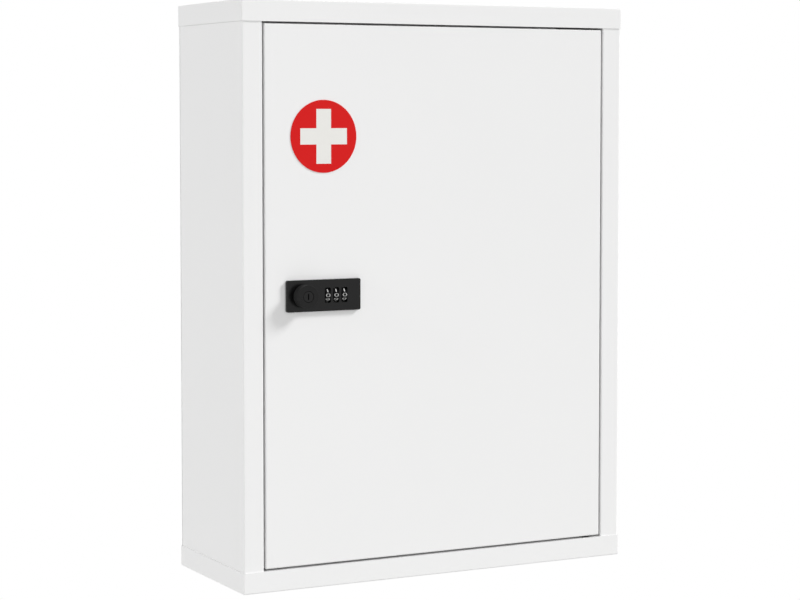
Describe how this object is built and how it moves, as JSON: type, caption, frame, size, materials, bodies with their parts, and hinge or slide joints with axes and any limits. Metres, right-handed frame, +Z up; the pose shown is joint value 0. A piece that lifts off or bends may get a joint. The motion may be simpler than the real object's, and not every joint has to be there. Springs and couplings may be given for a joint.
{
  "type": "lockable medicine cabinet",
  "caption": "White steel wall cabinet for medicines, with loose shelves, a hinged inset door, a first-aid sign and a combination cam lock with a turning knob.",
  "frame": {"origin": "centre of the back face, on the wall plane, at mid-height", "axes": "+Z up, +Y into the wall, +X to the right as seen from the front; the door faces -Y"},
  "size_m": [0.3, 0.1214, 0.4],
  "materials": {
    "white_powder_coat": "semi-gloss",
    "zinc_plated_steel": "satin",
    "spring_steel": "satin",
    "black_nylon": "matt",
    "grey_rubber": "matt",
    "red_vinyl": "semi-gloss",
    "white_vinyl": "semi-gloss",
    "black_coated_zinc": "semi-gloss",
    "black_acetal": "matt"
  },
  "bodies": {
    "carcass": {"top_cap": "white_powder_coat", "bottom_cap": "white_powder_coat", "left_side_panel": "white_powder_coat", "right_side_panel": "white_powder_coat", "back_panel": "white_powder_coat", "strike_plate": "white_powder_coat", "door_bumpers": "grey_rubber", "hinge_bracket_upper": "white_powder_coat", "hinge_bracket_lower": "white_powder_coat", "hinge_pin_upper": "zinc_plated_steel", "hinge_pin_lower": "zinc_plated_steel", "shelf_upright_left_front": "white_powder_coat", "shelf_upright_left_rear": "white_powder_coat", "shelf_upright_right_front": "white_powder_coat", "shelf_upright_right_rear": "white_powder_coat", "shelf_clips_upper": "zinc_plated_steel", "shelf_clips_lower": "zinc_plated_steel"},
    "door": {"door_panel": "white_powder_coat", "door_stiffener": "white_powder_coat", "hinge_bush_upper": "black_nylon", "hinge_bush_lower": "black_nylon", "badge_disc": "red_vinyl", "badge_cross": "white_vinyl", "lock_housing": "black_coated_zinc", "lock_washer": "zinc_plated_steel", "lock_nut": "zinc_plated_steel", "lock_back_cover": "black_coated_zinc", "cover_screws": "zinc_plated_steel", "detent_spring": "spring_steel", "dial_axle": "zinc_plated_steel"},
    "knob_and_cam": {"knob": "black_nylon", "spindle": "zinc_plated_steel", "spindle_clip": "spring_steel", "cam": "zinc_plated_steel", "cam_washer": "zinc_plated_steel", "cam_screw": "zinc_plated_steel"},
    "key_plug": {"key_plug": "black_coated_zinc"},
    "dial_left": {"dial_left": "black_acetal"},
    "dial_middle": {"dial_middle": "black_acetal"},
    "dial_right": {"dial_right": "black_acetal"},
    "shelf_upper": {"shelf_upper": "white_powder_coat"},
    "shelf_lower": {"shelf_lower": "white_powder_coat"}
  },
  "joints": [
    {"name": "door_hinge", "type": "hinge", "parent": "carcass", "child": "door", "pos_m": [0.1233, -0.1063, 0], "axis": [0, 0, 1], "range_deg": [0, 120]},
    {"name": "knob_turn", "type": "hinge", "parent": "door", "child": "knob_and_cam", "pos_m": [-0.1056, -0.11, 0.0005], "axis": [0, 1, 0], "range_deg": [0, 90]},
    {"name": "key_turn", "type": "hinge", "parent": "knob_and_cam", "child": "key_plug", "pos_m": [-0.1056, -0.12, 0.0005], "axis": [0, 1, 0], "range_deg": [0, 90]},
    {"name": "dial_left_spin", "type": "hinge", "parent": "door", "child": "dial_left", "pos_m": [-0.0877, -0.10937, 0.0005], "axis": [1, 0, 0], "continuous": true},
    {"name": "dial_middle_spin", "type": "hinge", "parent": "door", "child": "dial_middle", "pos_m": [-0.0814, -0.10937, 0.0005], "axis": [1, 0, 0], "continuous": true},
    {"name": "dial_right_spin", "type": "hinge", "parent": "door", "child": "dial_right", "pos_m": [-0.0751, -0.10937, 0.0005], "axis": [1, 0, 0], "continuous": true},
    {"name": "shelf_upper_lift", "type": "slide", "parent": "carcass", "child": "shelf_upper", "axis": [0, 0, 1], "range_m": [0, 0.03]},
    {"name": "shelf_lower_lift", "type": "slide", "parent": "carcass", "child": "shelf_lower", "axis": [0, 0, 1], "range_m": [0, 0.03]}
  ]
}
